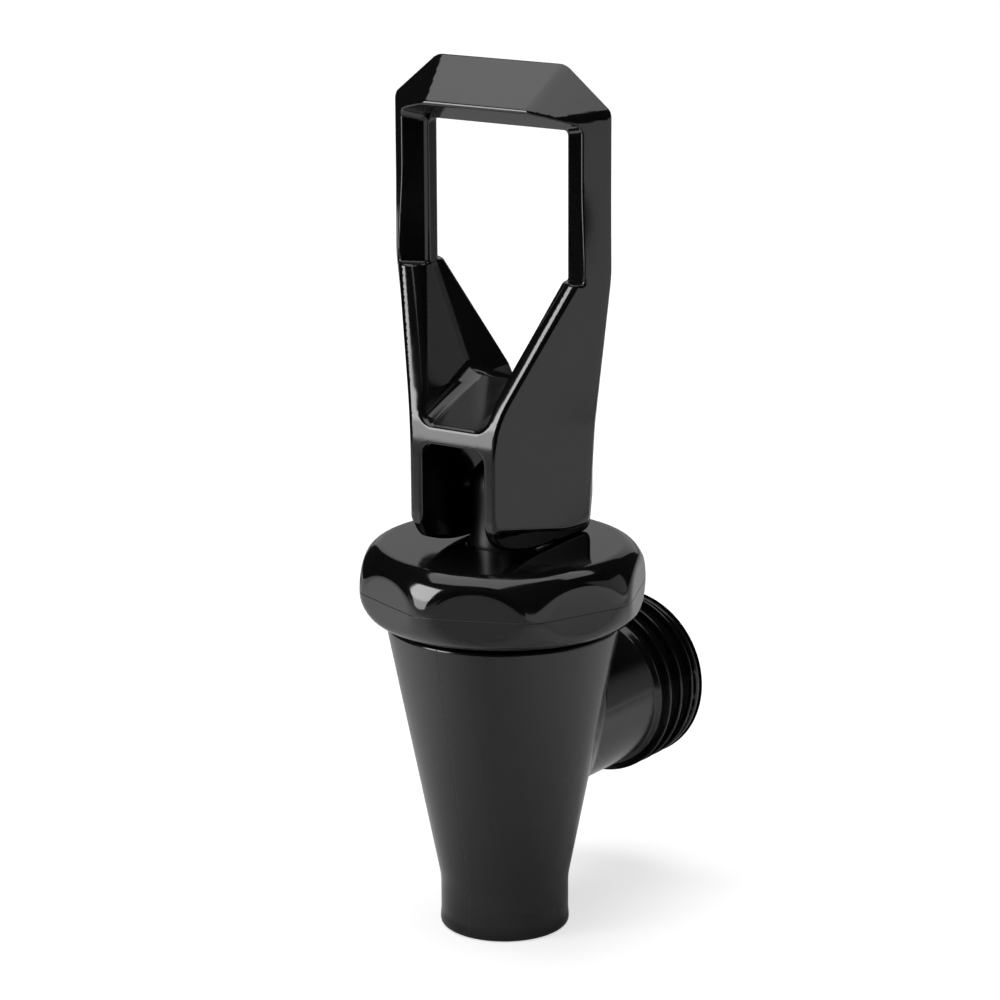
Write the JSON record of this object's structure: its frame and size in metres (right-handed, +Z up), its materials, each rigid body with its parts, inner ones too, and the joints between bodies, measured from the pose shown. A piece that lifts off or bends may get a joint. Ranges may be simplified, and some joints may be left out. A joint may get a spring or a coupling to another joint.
{
  "type": "self-closing beverage tap",
  "caption": "Black plastic dispenser tap with a faceted loop handle, screw bonnet with flats, conical barrel, straight nozzle and threaded side shank; tilting the handle lifts a sprung seat.",
  "frame": {"origin": "centre of the nozzle's mouth", "axes": "+Z up along the barrel and stem, +Y back along the threaded shank, -Y the front of the tap, X across the handle's loop"},
  "size_m": [0.0426, 0.0564, 0.1298],
  "materials": {
    "body": "glossy black moulded plastic",
    "bonnet": "high-gloss black moulded plastic",
    "handle": "glossy black moulded plastic",
    "pin": "ground stainless steel",
    "stem": "black moulded plastic",
    "spring": "drawn stainless wire",
    "seat_cup": "soft milky silicone"
  },
  "bodies": {
    "tap_body": {"body": "body", "bonnet": "bonnet", "seat_cup": "seat_cup", "spring": "spring"},
    "stem": {"stem": "stem"},
    "handle": {"handle": "handle", "handle_pin": "pin"}
  },
  "joints": [
    {"name": "stem_lift", "type": "slide", "parent": "tap_body", "child": "stem", "axis": [0, 0, 1], "range_m": [0, 0.00314], "deforming": ["spring", "seat_cup"]},
    {"name": "handle_tilt", "type": "hinge", "parent": "stem", "child": "handle", "pos_m": [0, 0, 0.0675], "axis": [1, 0, 0], "range_deg": [0, 36], "stiffness_Nm_per_rad": 0.05, "springref_deg": -17.19}
  ],
  "couplings": [
    {"joint": "handle_tilt", "follows": "stem_lift", "rad_per_m": 194.17}
  ]
}
